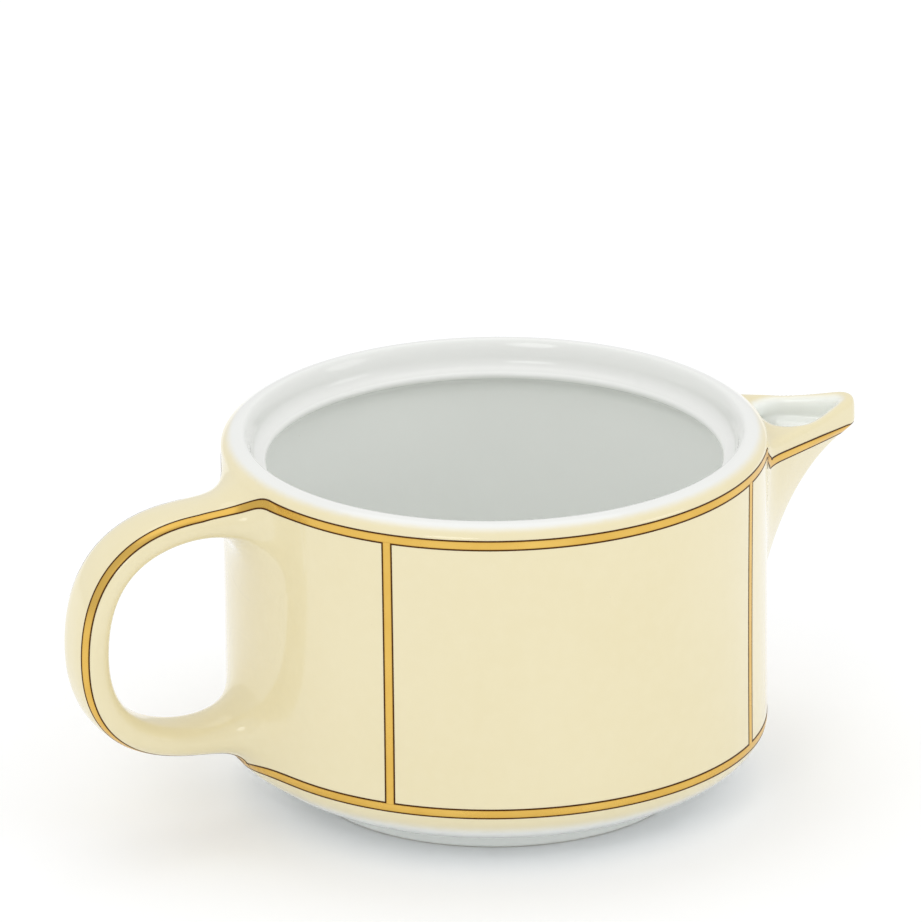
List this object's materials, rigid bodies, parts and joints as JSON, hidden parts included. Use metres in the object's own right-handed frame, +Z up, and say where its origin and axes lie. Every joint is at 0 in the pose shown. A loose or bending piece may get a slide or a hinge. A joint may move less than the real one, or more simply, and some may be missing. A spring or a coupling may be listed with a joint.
{
  "type": "cream jug",
  "caption": "Low drum-shaped porcelain cream jug with a lid ledge, an open-topped beak, a loop handle and gilt lines edged in dark brown.",
  "frame": {"origin": "the jug's axis at the height of the foot ring's resting face", "axes": "+Z up, +X towards the beak's tip, the handle towards -X, and the jug is symmetric across Y"},
  "size_m": [0.145, 0.0932, 0.0638],
  "materials": {
    "white_glaze": "gloss",
    "cream_glaze": "gloss",
    "gilding": "polished",
    "brown_enamel": "gloss"
  },
  "bodies": {
    "root": {"jug_body": "white_glaze", "beak": "cream_glaze", "handle": "cream_glaze", "slip_beak": "white_glaze", "slip_handle_upper": "white_glaze", "slip_handle_lower": "white_glaze", "gilt_rim_band_front": "gilding", "gilt_rim_band_back": "gilding", "gilt_foot_band": "gilding", "gilt_panel_front_left": "gilding", "gilt_panel_front_right": "gilding", "gilt_panel_back_left": "gilding", "gilt_panel_back_right": "gilding", "gilt_handle_front": "gilding", "gilt_handle_back": "gilding", "gilt_beak": "gilding", "edges_rim_band": "brown_enamel", "edges_foot_band": "brown_enamel", "edges_panels": "brown_enamel", "edges_handle": "brown_enamel", "edges_beak": "brown_enamel"}
  },
  "joints": []
}
